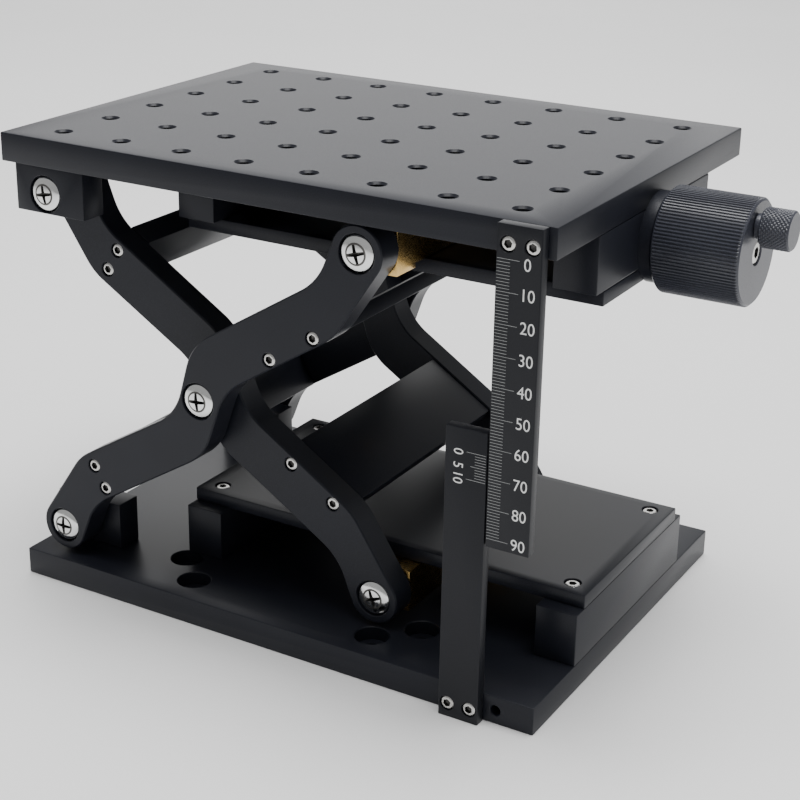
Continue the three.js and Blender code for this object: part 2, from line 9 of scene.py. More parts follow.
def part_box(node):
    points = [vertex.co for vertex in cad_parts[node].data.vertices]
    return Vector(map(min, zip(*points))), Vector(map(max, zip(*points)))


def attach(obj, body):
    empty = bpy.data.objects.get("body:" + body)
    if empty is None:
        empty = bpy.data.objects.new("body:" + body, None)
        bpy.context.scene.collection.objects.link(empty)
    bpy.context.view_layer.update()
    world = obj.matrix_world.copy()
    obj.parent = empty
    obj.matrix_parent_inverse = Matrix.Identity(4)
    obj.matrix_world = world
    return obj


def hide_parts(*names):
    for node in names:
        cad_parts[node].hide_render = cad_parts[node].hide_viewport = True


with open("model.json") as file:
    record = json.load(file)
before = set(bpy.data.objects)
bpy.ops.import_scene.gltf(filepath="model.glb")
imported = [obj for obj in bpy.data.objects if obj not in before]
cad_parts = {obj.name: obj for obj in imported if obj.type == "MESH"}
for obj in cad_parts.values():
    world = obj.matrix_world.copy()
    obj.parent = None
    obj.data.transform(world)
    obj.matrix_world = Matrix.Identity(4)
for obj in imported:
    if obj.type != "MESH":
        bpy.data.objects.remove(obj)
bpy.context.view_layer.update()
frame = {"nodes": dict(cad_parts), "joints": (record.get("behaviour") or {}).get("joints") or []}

# ---- Sizes, in metres ------------------------------------------------------------------------------
MM = 0.001
EDGE = 0.45 * MM  # chamfer along a machined edge
GAP = 0.3 * MM  # clearance between pieces cut to fit each other
OVER = MM  # how far a cutter reaches past the face it enters
BEVEL_STEPS = 2
SMOOTH_ANGLE = math.radians(28)  # sharper edges stay crisp
KNURL_SMOOTH_ANGLE = math.radians(18)
DIAMOND_SMOOTH_ANGLE = math.radians(40)
TURNED_SIDES = 48
FINE_SIDES = 64  # of a large round shape
ROUND_SIDES = 32  # of a small one
SCREW_SIDES = 40
THREAD_SIDES = 24
CAP_SIDES = 96
LEAST_MITRE = 0.3

# In an arm, u runs along its line of pivots and w across it, both from the centre pivot.
ARM_END_RADIUS = 9.3 * MM
ARM_FILLET = 22 * MM
ARM_UPPER_CORNERS = [
    (70.4 * MM, 2.0 * MM), (12.4 * MM, 15.6 * MM), (-11.8 * MM, 2.1 * MM), (-61.8 * MM, 14.6 * MM),
]
ARM_LOWER_CORNERS = [
    (-70.4 * MM, -2.0 * MM), (-12.4 * MM, -15.6 * MM), (11.8 * MM, -3.8 * MM), (61.8 * MM, -15 * MM),
]
ARM_END_STEPS = 36
ARM_FILLET_STEPS = 14
TIE_BAR = {
    "u": -59.5 * MM, "w": 4.1 * MM, "along": 9 * MM, "across": 17 * MM, "tilt": math.radians(-14),
}
TIE_PLATE = {
    "u": 45.4 * MM, "w": -8.2 * MM, "along": 30 * MM, "across": 5.2 * MM, "tilt": math.radians(-12.6),
}

HOLE_GRID = {"columns": 8, "rows": 6, "pitch": 25 * MM}
TAPPED_HOLE = {"minor": 2.5 * MM, "major": 2.85 * MM, "pitch": 1 * MM, "chamfer": 3.3 * MM}
FOOT_BOLT_HOLE = {"radius": 3.3 * MM, "seat": 6 * MM, "depth": 5 * MM, "rim": 0.3 * MM}
FOOT_BOLT_PLACES = [(1.5, 2.5), (2, 2)]  # in grid pitches along X and Y
FRONT_HOLE = {"radius": 1.8 * MM, "depth": 10 * MM, "chamfer": 0.3 * MM}
BUSH_SEAT = 5.95 * MM
BEARING_SEAT = 7.9 * MM
PIVOT_BORE = 4.3 * MM

TIE_SCREW = {"radius": 2.25 * MM, "height": 2.7 * MM, "hex": 1.45 * MM, "length": 12 * MM}
COVER_SCREW = {"radius": 2.6 * MM, "height": 2 * MM, "hex": 1.45 * MM, "length": 14 * MM}
FRONT_SCREW = {"radius": 2.25 * MM, "height": 2.4 * MM, "hex": 1.4 * MM, "length": 10 * MM}
KNOB_SCREW = {"radius": 3.6 * MM, "height": 3 * MM, "hex": 2.0 * MM, "length": 9 * MM}
PIVOT_SCREW = {"radius": 6.2 * MM, "height": 2.6 * MM, "shank": 4 * MM, "length": 17 * MM}
PIVOT_SEAT = {"radius": 6.6 * MM, "depth": 1.8 * MM}
SEAT_RIM = {"spread": 1.2 * MM, "depth": 0.2 * MM}  # the broken edge round a screw's seat
SEAT_ROOM = {"radius": 0.3 * MM, "height": 0.6 * MM, "length": 0.9 * MM}  # clearance round a screw
SCREW_BORE = 1.8 * MM
SCREW_SHANK = 1.5 * MM
SCREW_HEAD_EDGE = 0.3 * MM
SCREW_HEAD_CROWN = 0.08 * MM
HEX_DEPTH_SHARE = 0.6  # of the head's height
HEX_CONE = {"share": 0.5, "start": 0.4 * MM, "tip": 0.5 * MM}  # the drilled bottom of a hex socket
HEX_SKIN = 0.02 * MM  # faces deeper than this inside the hex belong to the recess and get its painted shade
# faces deeper than this inside the cross recess get the recess's painted shade
CROSS_SKIN = 0.3 * MM
DOME_RIM = 0.75 * MM
DOME_UNDERCUT = 0.15 * MM
DOME_STEPS = 12
CROSS_RECESS = {
    "reach": 3.5 * MM, "width": 1.35 * MM, "depth": 2 * MM, "taper": 0.38, "mouth": 1.1, "tip": 0.75,
}
GOLDEN_ANGLE = 2.39996  # radians
KNOB_SCREW_TWIST = 0.3  # radians

KNOB_TEETH = 96
KNURL_DEPTH = 0.45 * MM
POINTS_PER_TOOTH = 4
KNOB_CHAMFER = 0.9 * MM
KNOB_FACE_EDGE = 0.1 * MM
KNOB_SHAFT = 5 * MM
KNOB_SEAT_ROOM = 0.4 * MM
GRIP_DIAMONDS = 30
GRIP_DEPTH = 0.38 * MM
POINTS_PER_DIAMOND = 6
DIAMOND_SLOPE = 1.5  # over 1, the diamonds' tips are flat
GRIP_CHAMFER = 0.6 * MM
GRIP_END = 1.2 * MM  # how far its flat end stays inside the knurled edge
CRANK_PIN = {"radius": 2.5 * MM, "edge": 0.3 * MM, "knob_gap": 0.1 * MM, "grip_gap": 0.2 * MM}
CAP_CHAMFER = 0.6 * MM
BRASS_EDGE = 0.4 * MM
SHARP_ANGLE = math.radians(60)
FLAT_ANGLE = math.radians(1)
SCREW_LEAD = 4 * MM
SCREW_STARTS = 2
THREAD_DEPTH = 0.9 * MM
THREAD_GAP = 1.2 * MM  # from the thread's ends to the bush and the bearing
THREAD_FLANK = {"slope": 2.5, "root": 0.75}
THREAD_START = {"shoulder": 0.5 * MM, "root": 0.2 * MM}  # before the first ring of the thread
RINGS_PER_THREAD = 6
JOURNAL = {"left": 3.5 * MM, "right": 4 * MM, "edge": 0.3 * MM, "lead_in": 0.2 * MM}
WELD = 0.001 * MM

SCALE_ZERO_DROP = 10.5 * MM  # from the table's top to the scale's zero
SCALE_LENGTH = 90
SCALE_TICKS = {"short": 4.3 * MM, "long": 7.3 * MM, "width": 0.12 * MM}
SCALE_DIGIT = 3.8 * MM
SCALE_DIGIT_GAP = {"zero": 2.6 * MM, "others": 3.4 * MM, "zero_drop": 0.8 * MM}  # from the long marks
DIGIT_WIDTH = 0.92  # of the font's own width
STRIP_EDGE = 0.3 * MM
LOWEST_HEIGHT = 105 * MM  # table height at which the scale reads zero
VERNIER_STEPS = 10
VERNIER_PITCH = 0.9 * MM
VERNIER_TICKS = {"short": 3.7 * MM, "middle": 5.2 * MM, "long": 6.6 * MM}
VERNIER_DIGIT = 3.3 * MM
VERNIER_DIGIT_PLACE = {"inset": 9.4 * MM, "drop": 0.4 * MM}
INK = 0.04 * MM  # how far the filled engraving stands out
FONT_STEPS = 5

PIVOT = {joint["name"]: Vector(joint["pos_m"]) for joint in frame["joints"]}
TURN = 2 * math.pi
X_AXIS = Vector((1, 0, 0))
Y_AXIS = Vector((0, 1, 0))
Z_AXIS = Vector((0, 0, 1))


# ---- Materials -------------------------------------------------------------------------------------
def make_node(tree, kind, **inputs):
    """A shader node; an input is a value or another node's output."""
    made = tree.nodes.new(kind)
    for key, value in inputs.items():
        socket = made.inputs[key.replace("_", " ")]
        if isinstance(value, bpy.types.NodeSocket):
            tree.links.new(value, socket)
        else:
            socket.default_value = value
    return made


def start_material(name):
    material = bpy.data.materials.new(name)
    material.use_nodes = True
    tree = material.node_tree
    return material, tree, tree.nodes["Principled BSDF"]


def noise(tree, scale, detail):
    place = make_node(tree, "ShaderNodeTexCoord").outputs["Object"]
    return make_node(tree, "ShaderNodeTexNoise", Vector=place, Scale=scale, Detail=detail).outputs["Fac"]


def spread(tree, value, low, high, source=(0.3, 0.7)):
    """value, taken from the source range to the range from low to high."""
    made = make_node(
        tree,
        "ShaderNodeMapRange",
        Value=value,
        From_Min=source[0],
        From_Max=source[1],
        To_Min=low,
        To_Max=high,
    )
    return made.outputs["Result"]


def mix_colour(tree, share, first, second):
    made = tree.nodes.new("ShaderNodeMix")
    made.data_type = "RGBA"
    tree.links.new(share, made.inputs["Factor"])
    for socket, value in ((made.inputs[6], first), (made.inputs[7], second)):
        if isinstance(value, bpy.types.NodeSocket):
            tree.links.new(value, socket)
        else:
            socket.default_value = (*value, 1.0)
    return made.outputs[2]


def bump(tree, height, strength, distance):
    made = make_node(tree, "ShaderNodeBump", Height=height, Strength=strength, Distance=distance)
    return made.outputs["Normal"]


def anodised(name, dark, light, roughness, specular, grain=0.25):
    """Bead-blasted and black anodised aluminium: a fine grain over very faint clouds."""
    material, tree, shader = start_material(name)
    clouds = noise(tree, scale=45, detail=4)
    speckle = noise(tree, scale=2600, detail=2)
    body = mix_colour(tree, spread(tree, clouds, 0.0, 1.0), dark, light)
    fleck = [2.5 * channel for channel in light]
    flecked = mix_colour(tree, spread(tree, speckle, 0.0, 0.35, (0.45, 0.8)), body, fleck)
    tree.links.new(flecked, shader.inputs["Base Color"])
    tree.links.new(spread(tree, speckle, roughness - 0.03, roughness + 0.05), shader.inputs["Roughness"])
    tree.links.new(bump(tree, speckle, grain, 0.03 * MM), shader.inputs["Normal"])
    shader.inputs["Specular IOR Level"].default_value = specular
    return material


def machined_metal(name, dark, light, roughness, mark_scale, grain=0.2):
    """Bare metal with slow changes of tone and fine cutting marks, finer along some axes than others."""
    material, tree, shader = start_material(name)
    clouds = noise(tree, scale=90, detail=4)
    place = make_node(tree, "ShaderNodeTexCoord").outputs["Object"]
    stretched = make_node(tree, "ShaderNodeMapping", Vector=place, Scale=mark_scale).outputs["Vector"]
    marks = make_node(tree, "ShaderNodeTexNoise", Vector=stretched, Scale=1.0, Detail=3.0).outputs["Fac"]
    colour = mix_colour(tree, spread(tree, clouds, 0.0, 1.0), dark, light)
    tree.links.new(colour, shader.inputs["Base Color"])
    tree.links.new(spread(tree, marks, roughness - 0.06, roughness + 0.1), shader.inputs["Roughness"])
    tree.links.new(bump(tree, marks, grain, 0.02 * MM), shader.inputs["Normal"])
    shader.inputs["Metallic"].default_value = 1.0
    return material


def paint(name, colour):
    """Paint filled into an engraving, a little uneven."""
    material, tree, shader = start_material(name)
    patches = noise(tree, scale=900, detail=3)
    tone = mix_colour(tree, spread(tree, patches, 0.0, 0.5), colour, [0.72 * c for c in colour])
    tree.links.new(tone, shader.inputs["Base Color"])
    tree.links.new(spread(tree, patches, 0.5, 0.75), shader.inputs["Roughness"])
    return material


BLACK = anodised("black_anodised", (0.0095, 0.0104, 0.0150), (0.0120, 0.0132, 0.0185), 0.34, 0.22)
SCALE_BLACK = anodised("scale_black", (0.0080, 0.0087, 0.0118), (0.0100, 0.0108, 0.0140), 0.40, 0.23)
KNURLED = anodised("knurled_black", (0.032, 0.034, 0.046), (0.042, 0.045, 0.058), 0.30, 0.5, 0.12)
BRASS = machined_metal("brass", (0.52, 0.33, 0.10), (0.68, 0.47, 0.19), 0.24, (300, 4000, 3000))
ZINC = machined_metal("bright_zinc", (0.72, 0.73, 0.72), (0.86, 0.86, 0.85), 0.12, (700,) * 3, 0.12)
STEEL = machined_metal("screw_steel", (0.52, 0.51, 0.49), (0.68, 0.67, 0.65), 0.24, (2200,) * 3, 0.15)
GROUND_STEEL = machined_metal(
    "ground_steel", (0.42, 0.43, 0.45), (0.55, 0.56, 0.58), 0.22, (200, 5000, 5000)
)
# Dark steel painted into the hex and cross recesses of screws as shade, where the socket's shadow falls.
SOCKET_PAINTED_SHADE = machined_metal("socket_painted_shade", (0.09, 0.087, 0.083), (0.15, 0.146, 0.14), 0.45, (900,) * 3)
WHITE = paint("engraving_white", (0.90, 0.90, 0.89))
TICK_GREY = paint("engraving_grey", (0.40, 0.41, 0.41))


# ---- Mesh making -----------------------------------------------------------------------------------
def add_box(bm, low, high, chamfer=0.0, turn=None):
    """A box from low to high; `turn` is a matrix it is then moved by."""
    corners = bmesh.ops.create_cube(bm, size=1.0)["verts"]
    size = Vector(high) - Vector(low)
    middle = (Vector(high) + Vector(low)) / 2
    for corner in corners:
        corner.co = Vector(a * b for a, b in zip(corner.co, size)) + middle
    if turn is not None:
        bmesh.ops.transform(bm, matrix=turn, verts=corners)
    if chamfer:
        edges = list({edge for corner in corners for edge in corner.link_edges})
        break_edges(bm, edges, chamfer)


def break_edges(bm, edges, chamfer):
    bmesh.ops.bevel(
        bm,
        geom=edges,
        offset=chamfer,
        segments=BEVEL_STEPS,
        profile=0.5,
        affect="EDGES",
        clamp_overlap=True,
    )


def add_turned(bm, profile, origin, direction, sides=TURNED_SIDES):
    """A turned solid. The profile's points are (radius, distance); a list of radii has one per side."""
    turn = Z_AXIS.rotation_difference(Vector(direction)).to_matrix()
    rings = []
    for radius, along in profile:
        if not isinstance(radius, list) and radius == 0:
            spots = [Vector((0, 0, along))]
        else:
            radii = radius if isinstance(radius, list) else [radius] * sides
            angles = [TURN * i / sides for i in range(sides)]
            spots = [Vector((r * math.cos(a), r * math.sin(a), along)) for r, a in zip(radii, angles)]
        rings.append([bm.verts.new(turn @ spot + Vector(origin)) for spot in spots])
    for lower, upper in zip(rings, rings[1:]):
        for i in range(sides):
            j = (i + 1) % sides
            near, far = len(lower), len(upper)
            corners = [lower[i % near], lower[j % near], upper[j % far], upper[i % far]]
            bm.faces.new(dict.fromkeys(corners))


def add_slab(bm, outline, near, far, chamfer):
    """A flat outline in X and Z, given depth along Y, with broken edges."""
    inner = inset(outline, chamfer)
    stations = [(inner, near), (outline, near + chamfer), (outline, far - chamfer), (inner, far)]
    rings = [[bm.verts.new((x, y, z)) for x, z in points] for points, y in stations]
    count = len(outline)
    for lower, upper in zip(rings, rings[1:]):
        for i in range(count):
            j = (i + 1) % count
            bm.faces.new((lower[i], lower[j], upper[j], upper[i]))
    bm.faces.new(rings[0])
    bm.faces.new(rings[-1])


def inset(outline, distance):
    """The outline moved inwards by a distance, with its corners mitred."""
    count = len(outline)
    area = sum(
        outline[i][0] * outline[(i + 1) % count][1] - outline[(i + 1) % count][0] * outline[i][1]
        for i in range(count)
    )
    side = 1 if area > 0 else -1
    moved = []
    for i in range(count):
        here = Vector(outline[i])
        before = (here - Vector(outline[i - 1])).normalized()
        after = (Vector(outline[(i + 1) % count]) - here).normalized()
        normal = (before + after).normalized()
        normal = Vector((-normal.y, normal.x)) * side
        miter = distance / max(LEAST_MITRE, Vector((-after.y, after.x)).dot(normal * side))
        moved.append(tuple(here + normal * miter))
    return moved


def make_object(name, bm):
    bmesh.ops.recalc_face_normals(bm, faces=bm.faces)
    mesh = bpy.data.meshes.new(name)
    bm.to_mesh(mesh)
    bm.free()
    obj = bpy.data.objects.new(name, mesh)
    bpy.context.scene.collection.objects.link(obj)
    return shaded(obj)


def shaded(obj, angle=SMOOTH_ANGLE):
    obj.data.shade_smooth()
    obj.data.set_sharp_from_angle(angle=angle)
    return obj


def carved(name, blank, cutters):
    """The blank with the cutters taken out of it."""
    body = make_object(name, blank)
    tool = make_object(name + "_tool", cutters)
    cut = body.modifiers.new("carve", "BOOLEAN")
    cut.operation = "DIFFERENCE"
    cut.object = tool
    cut.solver = "EXACT"
    bpy.context.view_layer.update()
    scene_now = bpy.context.evaluated_depsgraph_get()
    mesh = bpy.data.meshes.new_from_object(body.evaluated_get(scene_now))
    body.modifiers.clear()
    body.data = mesh
    mesh.name = name
    bpy.data.objects.remove(tool)
    return shaded(body)


def settle(obj, body, material, slot, *nodes):
    """Gives a piece its material and its body, and hides the CAD nodes it stands for; its finish, `slot`,
    is not used.
    """
    obj.data.materials.clear()
    obj.data.materials.append(material)
    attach(obj, body)
    if nodes:
        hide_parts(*nodes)


def node_middle(node):
    low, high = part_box(node)
    return (low + high) / 2


# ---- Holes -----------------------------------------------------------------------------------------
def cut_front_hole(bm, mouth):
    """A small hole with a chamfered mouth in a plate's front edge."""
    radius, depth, chamfer = FRONT_HOLE["radius"], FRONT_HOLE["depth"], FRONT_HOLE["chamfer"]
    profile = [(0, -OVER), (radius + chamfer + OVER, -OVER), (radius, chamfer), (radius, depth), (0, depth)]
    add_turned(bm, profile, mouth, Y_AXIS, ROUND_SIDES)


def cut_pivot(bm, mouth, inward, seated, screw="base_pivot_screw_front"):
    """The bore for a pivot screw, just past the screw's end, with a shallow seat for a `seated` head."""
    depth = abs(mouth.y) - abs(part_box(screw)[1].y) + GAP
    profile = [(0, -OVER), (PIVOT_BORE, -OVER), (PIVOT_BORE, depth), (0, depth)]
    if seated:
        floor = PIVOT_SEAT["depth"]
        profile[1:2] = [*seat_profile(PIVOT_SEAT["radius"], floor), (PIVOT_BORE, floor)]
    add_turned(bm, profile, mouth, inward, FINE_SIDES)


def seat_profile(radius, floor):
    """The side of a seat for a screw's head, with its rim broken."""
    return [(radius + SEAT_RIM["spread"], -OVER), (radius, SEAT_RIM["depth"]), (radius, floor)]


def cut_seat(bm, mouth, inward, screw):
    """The stepped hole for a socket-head screw."""
    seat = screw["radius"] + SEAT_ROOM["radius"]
    floor = screw["height"] + SEAT_ROOM["height"]
    depth = screw["length"] + SEAT_ROOM["length"]
    bore = [(SCREW_BORE, floor), (SCREW_BORE, depth), (0, depth)]
    add_turned(bm, [(0, -OVER), *seat_profile(seat, floor), *bore], mouth, inward, ROUND_SIDES)


def cut_tapped(bm, mouth, inward, depth):
    """A tapped hole right through a plate: thread ridges between two chamfered mouths."""
    minor, major = TAPPED_HOLE["minor"], TAPPED_HOLE["major"]
    wide = TAPPED_HOLE["chamfer"]
    half = TAPPED_HOLE["pitch"] / 2
    lead_in = wide - minor
    profile = [(0, -OVER), (wide + OVER, -OVER), (minor, lead_in)]
    crests = int((depth - 2 * lead_in) / (2 * half))
    for i in range(crests):
        start = lead_in + 2 * half * i
        profile += [(major, start + half), (minor, start + 2 * half)]
    profile += [(minor, depth - lead_in), (wide + OVER, depth + OVER), (0, depth + OVER)]
    add_turned(bm, profile, mouth, inward, THREAD_SIDES)


# ---- Plates, blocks and covers ---------------------------------------------------------------------
def machined_block(node, body, cutters=None):
    """A CAD node's box with broken edges and the cutters taken out of it."""
    low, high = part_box(node)
    blank = bmesh.new()
    add_box(blank, low, high, EDGE)
    name = node + "_fine"
    obj = make_object(name, blank) if cutters is None else carved(name, blank, cutters)
    settle(obj, body, BLACK, "black_anodised", node)


def grid_spots():
    """X and Y of the table's tapped holes."""
    columns, rows, pitch = HOLE_GRID["columns"], HOLE_GRID["rows"], HOLE_GRID["pitch"]
    for i in range(columns):
        for j in range(rows):
            yield (i - (columns - 1) / 2) * pitch, (j - (rows - 1) / 2) * pitch


def front_screw_mouths(prefix, plate):
    """Where the screws of the ruler or the post enter a plate's front edge."""
    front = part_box(plate)[0].y
    for i in (1, 2):
        middle = node_middle(f"{prefix}_screw_{i}")
        yield Vector((middle.x, front, middle.z))


def make_top_plate():
    low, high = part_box("top_plate")
    cutters = bmesh.new()
    for x, y in grid_spots():
        cut_tapped(cutters, (x, y, high.z), (0, 0, -1), high.z - low.z)
    for mouth in front_screw_mouths("ruler", "top_plate"):
        cut_front_hole(cutters, mouth)
    machined_block("top_plate", "table", cutters)


def make_base_plate():
    low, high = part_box("base_plate")
    pitch = HOLE_GRID["pitch"]
    cutters = bmesh.new()
    radius, seat, depth = FOOT_BOLT_HOLE["radius"], FOOT_BOLT_HOLE["seat"], FOOT_BOLT_HOLE["depth"]
    rim = FOOT_BOLT_HOLE["rim"]
    through = high.z - low.z + OVER
    profile = [
        (0, -OVER), (seat + rim + OVER, -OVER), (seat, rim), (seat, depth),
        (radius, depth), (radius, through), (0, through),
    ]
    for i, j in FOOT_BOLT_PLACES:
        for x in (-i * pitch, i * pitch):
            for y in (-j * pitch, j * pitch):
                add_turned(cutters, profile, (x, y, high.z), (0, 0, -1))
    mouths = list(front_screw_mouths("vernier_post", "base_plate"))
    spare = Vector((node_middle("ruler_screw_1").x, low.y, mouths[0].z))
    for mouth in (*mouths, spare):
        cut_front_hole(cutters, mouth)
    machined_block("base_plate", "base", cutters)


def cover_screw_spots():
    """X and Y of a guide cover's four screws."""
    for i in range(1, 5):
        middle = node_middle(f"base_cover_screw_{i}")
        yield middle.x, middle.y


def make_guide(prefix, body, mouth_z, inward):
    """A guide's two end blocks and its cover plate."""
    cutters = bmesh.new()
    for x, y in cover_screw_spots():
        cut_seat(cutters, (x, y, mouth_z), inward, COVER_SCREW)
    machined_block(f"{prefix}_guide_cover", body, cutters)
    left, right = f"{prefix}_guide_block_left", f"{prefix}_guide_block_right"
    if prefix == "base":
        machined_block(left, body)
        machined_block(right, body)
        return
    z = PIVOT["lead_screw_turn"].z
    for node, radius in ((left, BUSH_SEAT), (right, BEARING_SEAT)):
        low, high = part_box(node)
        bore = bmesh.new()
        through = high.x - low.x + 2 * OVER
        profile = [(0, 0), (radius, 0), (radius, through), (0, through)]
        add_turned(bore, profile, (low.x - OVER, 0, z), X_AXIS)
        machined_block(node, body, bore)


def make_blocks():
    make_top_plate()
    make_base_plate()
    make_guide("base", "base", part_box("base_guide_cover")[1].z, (0, 0, -1))
    make_guide("top", "table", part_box("top_guide_cover")[0].z, (0, 0, 1))
    for place in ("front", "rear"):
        make_pivot_block(f"base_pivot_lug_{place}", "base", "scissor_lift", False)
        make_pivot_block(f"top_pivot_ear_{place}", "table", "table_level", True)


def make_pivot_block(node, body, joint, seated):
    low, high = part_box(node)
    outside, inward = (low.y, Y_AXIS) if low.y < 0 else (high.y, -Y_AXIS)
    cutters = bmesh.new()
    cut_pivot(cutters, Vector((PIVOT[joint].x, outside, PIVOT[joint].z)), inward, seated)
    machined_block(node, body, cutters)


# ---- Arms ------------------------------------------------------------------------------------------
ARM_LINES = {
    "outer": (PIVOT["scissor_lift"], PIVOT["nut_level"], 1),
    "inner": (PIVOT["table_level"], PIVOT["slider_level"], -1),
}


def arm_axes(pair):
    """An arm's centre, the directions along it and across it, and its half length."""
    fixed, moving, hand = ARM_LINES[pair]
    along = (moving - fixed).normalized()
    across = Vector((-along.z, 0, along.x)) * hand
    return (fixed + moving) / 2, along, across, (moving - fixed).length / 2


def arm_point(pair, u, w):
    centre, along, across, _ = arm_axes(pair)
    return centre + along * u + across * w


def arc(centre, radius, start, sweep, steps):
    angles = [start + sweep * i / steps for i in range(steps + 1)]
    return [(centre[0] + radius * math.cos(a), centre[1] + radius * math.sin(a)) for a in angles]


def touch_angle(corner, end_u, side):
    """The angle, on a round end, of the point that a straight line from the corner touches."""
    away_u, away_w = corner[0] - end_u, corner[1]
    return math.atan2(away_w, away_u) + side * math.acos(ARM_END_RADIUS / math.hypot(away_u, away_w))


def round_end_point(end_u, angle):
    return end_u + ARM_END_RADIUS * math.cos(angle), ARM_END_RADIUS * math.sin(angle)


def fillet(before, corner, after):
    inward = (Vector(before) - Vector(corner)).normalized()
    outward = (Vector(after) - Vector(corner)).normalized()
    half = inward.angle(outward) / 2
    centre = Vector(corner) + (inward + outward).normalized() * (ARM_FILLET / math.sin(half))
    start = Vector(corner) + inward * (ARM_FILLET / math.tan(half)) - centre
    end = Vector(corner) + outward * (ARM_FILLET / math.tan(half)) - centre
    sweep = math.atan2(start.x * end.y - start.y * end.x, start.dot(end))
    return arc(centre, ARM_FILLET, math.atan2(start.y, start.x), sweep, ARM_FILLET_STEPS)


def long_side(corners, next_corner, reach):
    """One long side of the arm and the round end after it; `reach` is where the side starts."""
    first = touch_angle(corners[0], reach, -1)
    last = touch_angle(corners[-1], -reach, 1)
    route = [round_end_point(reach, first), *corners, round_end_point(-reach, last)]
    points = []
    for before, corner, after in zip(route, route[1:], route[2:]):
        points += fillet(before, corner, after)
    sweep = (touch_angle(next_corner, -reach, -1) - last) % TURN
    return points + arc((-reach, 0), ARM_END_RADIUS, last, sweep, ARM_END_STEPS)


def arm_outline(reach):
    upper, lower = ARM_UPPER_CORNERS, ARM_LOWER_CORNERS
    return long_side(upper, lower[0], reach) + long_side(lower, upper[0], -reach)


def make_arm(pair, place, body):
    node = f"{pair}_arm_{place}"
    low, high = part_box(node)
    reach = arm_axes(pair)[3]
    outline = [arm_point(pair, u, w) for u, w in arm_outline(reach)]
    blank = bmesh.new()
    add_slab(blank, [(p.x, p.z) for p in outline], low.y, high.y, EDGE)
    outside, inward = (low.y, Y_AXIS) if place == "front" else (high.y, -Y_AXIS)
    cutters = bmesh.new()
    for spot in tie_screw_spots(pair):
        cut_seat(cutters, (spot.x, outside, spot.z), inward, TIE_SCREW)
    for u in (-reach, 0, reach):
        spot = arm_point(pair, u, 0)
        seated = pair == "outer" or u == reach
        screw = "slider_pivot_screw_front" if pair == "inner" and u == reach else "base_pivot_screw_front"
        cut_pivot(cutters, Vector((spot.x, outside, spot.z)), inward, seated, screw)
    settle(carved(node + "_fine", blank, cutters), body, BLACK, "black_anodised", node)


def tie_screw_spots(pair):
    return [node_middle(f"{pair}_tie_screw_{i}") for i in range(1, 5)]


def make_tie(pair, name, size, body):
    node = f"{pair}_{name}"
    low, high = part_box(node)
    hand = ARM_LINES[pair][2]
    along = arm_axes(pair)[1]
    angle = math.atan2(along.z, along.x) + hand * size["tilt"]
    middle = arm_point(pair, size["u"], size["w"])
    corner = Vector((size["along"] / 2, (high.y - low.y) / 2, size["across"] / 2))
    blank = bmesh.new()
    turn = Matrix.Translation(middle) @ Matrix.Rotation(-angle, 4, "Y")
    add_box(blank, -corner, corner, EDGE, turn)
    settle(make_object(node + "_fine", blank), body, BLACK, "black_anodised", node)


def make_arms():
    for pair, body in (("outer", "outer_arms"), ("inner", "inner_arms")):
        for place in ("front", "rear"):
            make_arm(pair, place, body)
        make_tie(pair, "tie_bar", TIE_BAR, body)
        make_tie(pair, "tie_plate", TIE_PLATE, body)


# ---- Screws ----------------------------------------------------------------------------------------
def hex_cutter(size, depth):
    """A hex socket with the coned bottom of its drilled hole."""
    cone = [(size * HEX_CONE["share"], depth + HEX_CONE["start"]), (0, depth + HEX_CONE["tip"])]
    bm = bmesh.new()
    add_turned(bm, [(0, -OVER), (size, -OVER), (size, depth), *cone], (0, 0, 0), -Z_AXIS, 6)
    return bm


def socket_screw_mesh(name, size, countersunk=False):
    """A screw with its head's outer face at the origin and its shank along -Z; the hex gets a darker metal
    as painted shade.
    """
    radius, height, length = size["radius"], size["height"], size["length"]
    blank = bmesh.new()
    soft = SCREW_HEAD_EDGE
    under = SCREW_SHANK if countersunk else radius
    profile = [
        (0, 0), (radius - 2 * soft, 0), (radius - soft, SCREW_HEAD_CROWN), (radius, soft),
        (radius, 2 * soft), (under, height), (SCREW_SHANK, height), (SCREW_SHANK, length), (0, length),
    ]
    add_turned(blank, profile, (0, 0, 0), -Z_AXIS, SCREW_SIDES)
    screw = carved(name, blank, hex_cutter(size["hex"], HEX_DEPTH_SHARE * height))
    mesh = screw.data
    bpy.data.objects.remove(screw)
    # The hex recess gets the dark steel as painted shade.
    darken_recess(mesh, STEEL, size["hex"], -height, -HEX_SKIN)
    return mesh


def darken_recess(mesh, metal, reach, low, high):
    """Gives the screw its metal, and a darker one as painted shade to the faces of the recess round its
    axis.
    """
    mesh.materials.append(metal)
    mesh.materials.append(SOCKET_PAINTED_SHADE)
    for face in mesh.polygons:
        inside = math.hypot(face.center.x, face.center.y) < reach
        if inside and low < face.center.z < high:
            face.material_index = 1


def cross_outline():
    """The cross's twelve corners, four arms that narrow towards their tips."""
    reach, half = CROSS_RECESS["reach"], CROSS_RECESS["width"] / 2
    tip = half * CROSS_RECESS["tip"]
    quarter = [(half, half), (reach, tip), (reach, -tip)]
    points = []
    for c, s in ((1, 0), (0, -1), (-1, 0), (0, 1)):
        points += [(x * c - y * s, x * s + y * c) for x, y in quarter]
    return points


